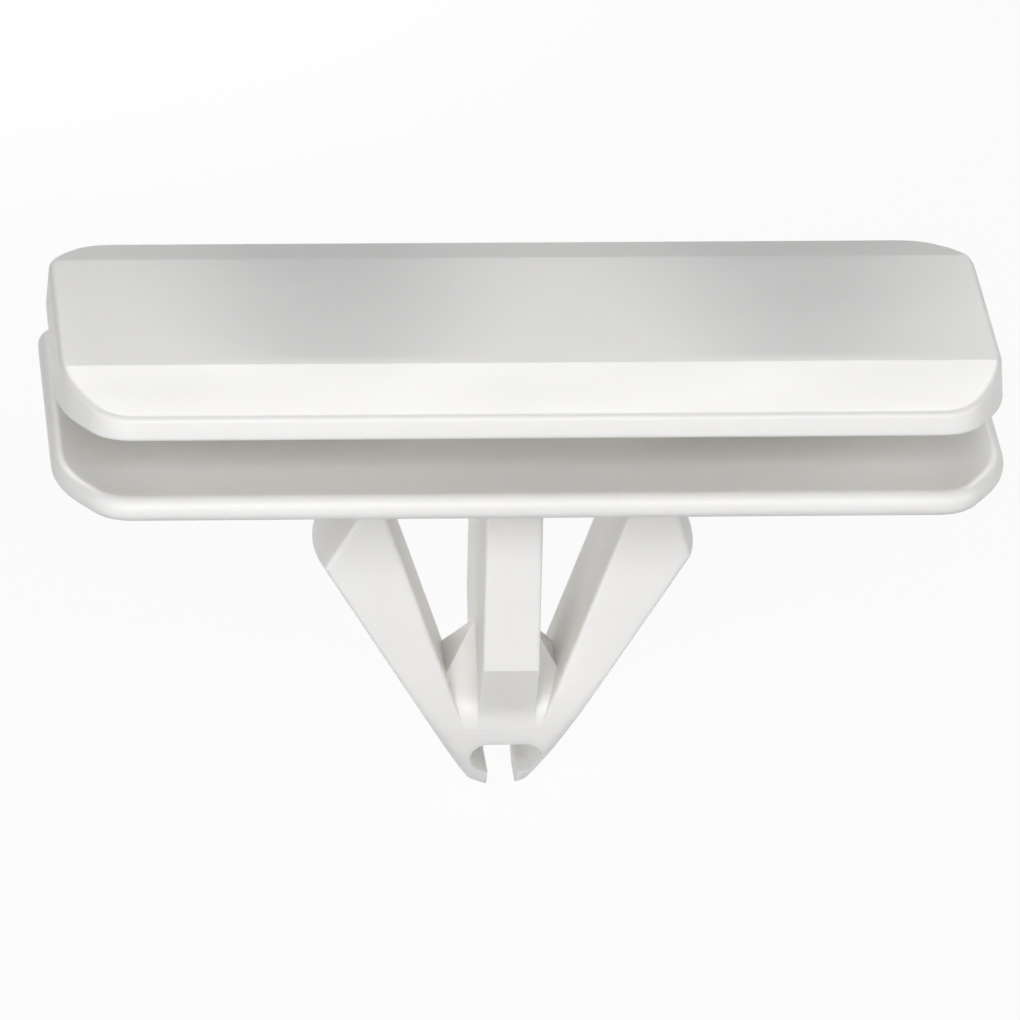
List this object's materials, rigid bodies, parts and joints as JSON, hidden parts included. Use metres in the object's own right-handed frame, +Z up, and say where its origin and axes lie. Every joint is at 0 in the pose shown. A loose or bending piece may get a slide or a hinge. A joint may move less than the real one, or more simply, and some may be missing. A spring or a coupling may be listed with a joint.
{
  "type": "molding clip",
  "caption": "White push-in clip: a rounded rectangular head and flange with a channel between them, above an arrow-shaped snap with two springing legs.",
  "frame": {"origin": "centre of the flange's underside, the face that seats on the body panel", "axes": "+X along the head's length, +Y across it, away from the side the picture shows, +Z up from the flange to the head; the arrow points to -Z"},
  "size_m": [0.0402, 0.0206, 0.0213],
  "materials": {
    "white_nylon": "natural white nylon as moulded, satin with a soft sheen"
  },
  "bodies": {
    "root": {"clip_body": "white_nylon"}
  },
  "joints": []
}
